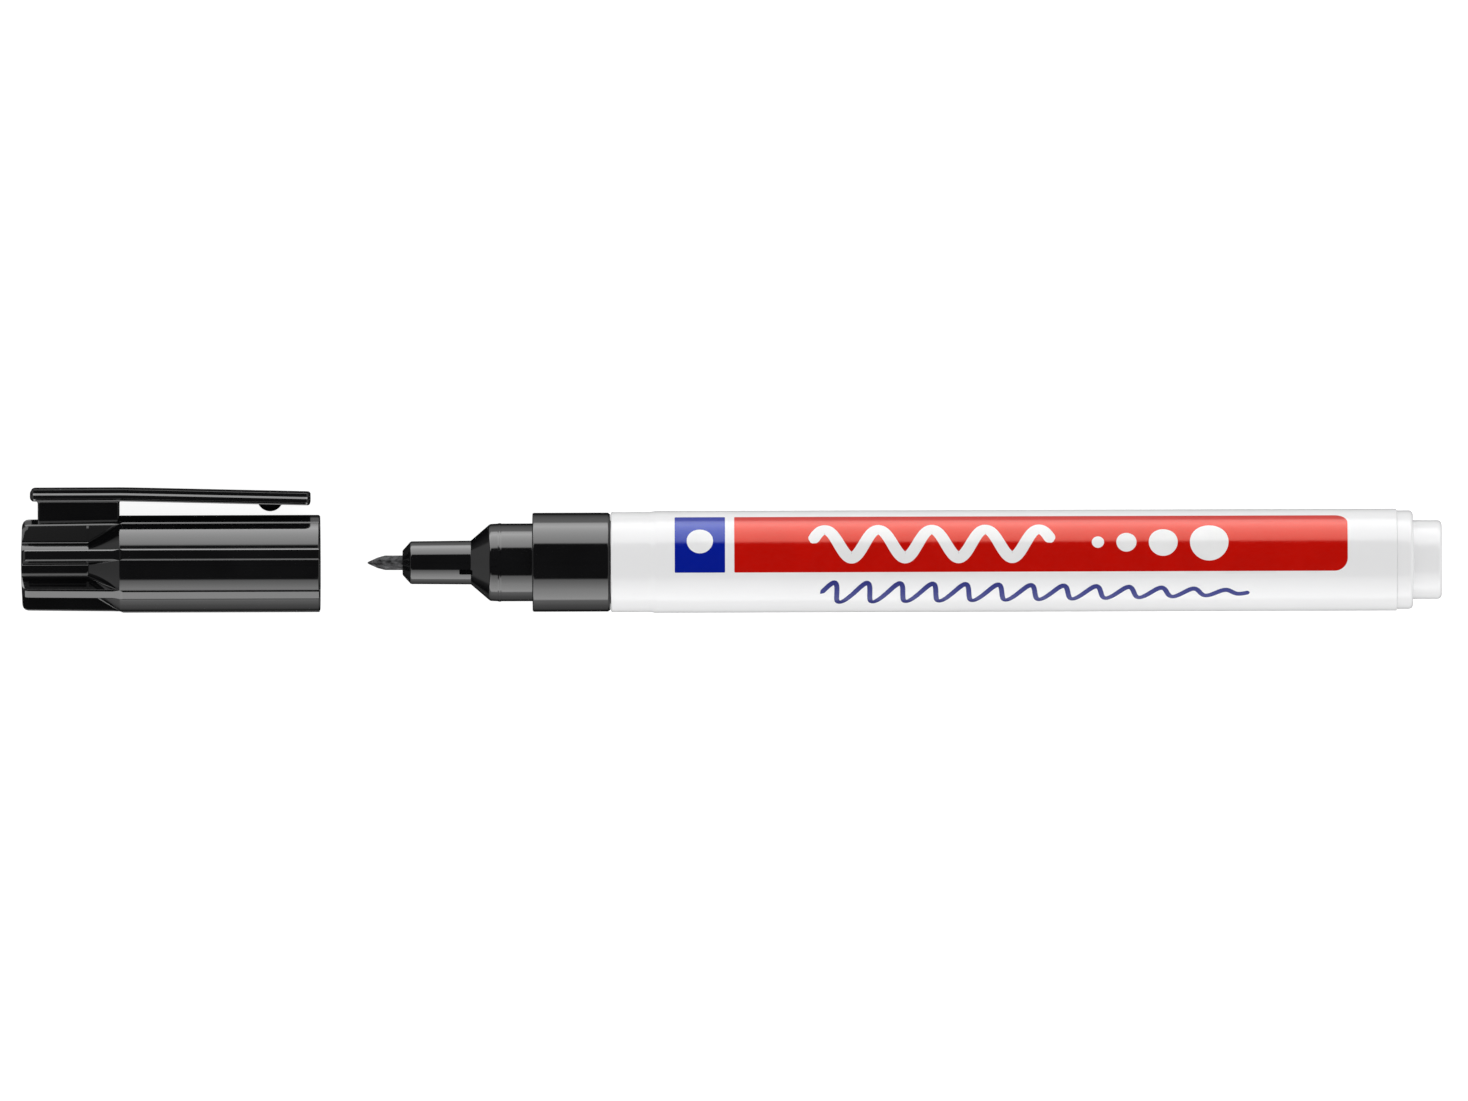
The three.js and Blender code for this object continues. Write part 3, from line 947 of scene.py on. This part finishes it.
# How bright the studio looks in a reflection, by the height in degrees above the horizon
CLIP_SIDE_BOX = (
    (-62, 0.02), (-54, 0.2), (-37, 0.8), (-20, 1.6), (-15, 5.0), (-4, 7.2), (10, 6.4),
    (32, 5.2), (41, 4.4), (45, 0.05),
)
FAR_SIDE_BOX = (
    (-60, 0.02), (-46, 0.24), (-29, 0.6), (-17, 1.2), (-9, 1.6), (-4, 4.8), (10, 4.8),
    (24, 4.5), (38, 3.3), (50, 2.2), (54, 0.05),
)
NIB_END = ((-50, 0.02), (-12, 0.15), (-7, 0.6), (9, 0.72), (25, 0.6), (36, 0.05))
REAR_END = ((-50, 0.02), (-12, 0.15), (-7, 0.5), (25, 0.7), (36, 0.05))
BRIGHTEST = 8


class PanelTree:
    """The node tree of the studio's glow, made of panels that stand in some headings only."""

    def __init__(self, material):
        self.nodes, self.links = material.node_tree.nodes, material.node_tree.links
        self.nodes.remove(next(n for n in self.nodes if n.type == "BSDF_PRINCIPLED"))
        place = self.node("ShaderNodeTexCoord").outputs["Object"]
        direction = self.parts(self.vector("NORMALIZE", place))
        self.height = self.window(direction["Z"], -1, 1)
        flat = self.vector("MULTIPLY", place, factor=(1, 1, 0))
        heading = self.parts(self.vector("NORMALIZE", flat))
        self.along, self.across = heading["X"], heading["Y"]

    def node(self, kind, *sources, operation=None):
        """A new node, with its first inputs joined to the sources."""
        made = self.nodes.new(kind)
        if operation:
            made.operation = operation
        for source, socket in zip(sources, made.inputs):
            self.links.new(source, socket)
        return made

    def vector(self, operation, source, factor=None):
        """A vector normalised, or multiplied by a factor."""
        made = self.node("ShaderNodeVectorMath", source, operation=operation)
        if factor:
            made.inputs[1].default_value = factor
        return made.outputs["Vector"]

    def parts(self, vector):
        """A vector's X, Y and Z."""
        return self.node("ShaderNodeSeparateXYZ", vector).outputs

    def window(self, source, start, end):
        """0 up to start, and 1 past end."""
        made = self.node("ShaderNodeMapRange", source)
        made.inputs["From Min"].default_value = start
        made.inputs["From Max"].default_value = end
        return made.outputs["Result"]

    def panel(self, stops, fade):
        """A panel's brightness by height, where fade says that it stands."""
        ramp = self.node("ShaderNodeValToRGB", self.height)
        elements = ramp.color_ramp.elements
        for _ in stops[2:]:
            elements.new(0.5)
        for element, (degrees, light) in zip(elements, stops):
            element.position = (1 + math.sin(math.radians(degrees))) / 2
            element.color = [light / BRIGHTEST] * 3 + [1]
        shown = self.node("ShaderNodeMath", ramp.outputs["Color"], fade, operation="MULTIPLY")
        return shown.outputs["Value"]

    def glow(self, panels):
        """Joins the sum of the panels to the material's output."""
        total = panels[0]
        for one in panels[1:]:
            total = self.node("ShaderNodeMath", total, one, operation="ADD").outputs["Value"]
        emission = self.node("ShaderNodeEmission", total)
        emission.inputs["Strength"].default_value = BRIGHTEST
        output = next(n for n in self.nodes if n.type == "OUTPUT_MATERIAL")
        self.links.new(emission.outputs["Emission"], output.inputs["Surface"])


def make_studio():
    """What glossy surfaces reflect: a soft box on each long side and a pale wall at each end.

    It is a great sphere that lights nothing else, so the reflections don't depend on the light."""
    bm = bmesh.new()
    bmesh.ops.create_icosphere(bm, subdivisions=4, radius=3000)
    studio = finish_mesh("studio", bm)
    material = bpy.data.materials.new("studio_light")
    material.use_nodes = True
    tree = PanelTree(material)
    # Each panel fades in between two values of the heading's share along or across the marker
    tree.glow([
        tree.panel(CLIP_SIDE_BOX, tree.window(tree.across, 0.70, 0.76)),
        tree.panel(FAR_SIDE_BOX, tree.window(tree.across, -0.70, -0.76)),
        tree.panel(NIB_END, tree.window(tree.along, -0.74, -0.82)),
        tree.panel(REAR_END, tree.window(tree.along, 0.80, 0.88)),
    ])
    material.cycles.emission_sampling = "NONE"
    studio.data.materials.append(material)
    studio.visible_camera = False
    studio.visible_diffuse = False
    studio.visible_transmission = False
    studio.visible_shadow = False


def make_world():
    """Soft light from all round, a little brighter near the horizon, that gloss doesn't see."""
    world = bpy.data.worlds.new("soft_light")
    world.use_nodes = True
    bpy.context.scene.world = world
    world.cycles_visibility.glossy = False
    nodes, links = world.node_tree.nodes, world.node_tree.links
    direction = nodes.new("ShaderNodeTexCoord").outputs["Generated"]
    split = nodes.new("ShaderNodeSeparateXYZ")
    links.new(direction, split.inputs["Vector"])
    ramp = nodes.new("ShaderNodeValToRGB")
    links.new(split.outputs["Z"], ramp.inputs["Fac"])
    horizon, top = ramp.color_ramp.elements
    horizon.position, horizon.color = 0.05, (1.08, 1.08, 1.08, 1)
    top.position, top.color = 0.9, (0.79, 0.79, 0.79, 1)
    links.new(ramp.outputs["Color"], nodes["Background"].inputs["Color"])


def make_camera():
    """Straight over the marker through a very long lens, leaning a little to the clip's side."""
    frame_width = 167.7 * MM
    middle = Vector((-80.83 * MM, 1.28 * MM, 0))
    lean, roll = math.radians(-2.2), math.radians(-0.18)
    data = bpy.data.cameras.new("camera")
    data.lens = 1000
    data.sensor_width = 36
    data.clip_end = 20
    distance = frame_width * data.lens / data.sensor_width
    turn = Matrix.Rotation(lean, 4, "X") @ Matrix.Rotation(roll, 4, "Z")
    camera = bpy.data.objects.new("camera", data)
    camera.matrix_world = Matrix.Translation(middle) @ turn @ Matrix.Translation((0, 0, distance))
    bpy.context.scene.collection.objects.link(camera)
    bpy.context.scene.camera = camera


make_floor()
make_studio()
make_world()
make_camera()
bpy.context.scene.view_settings.view_transform = "Standard"

bpy.context.view_layer.update()
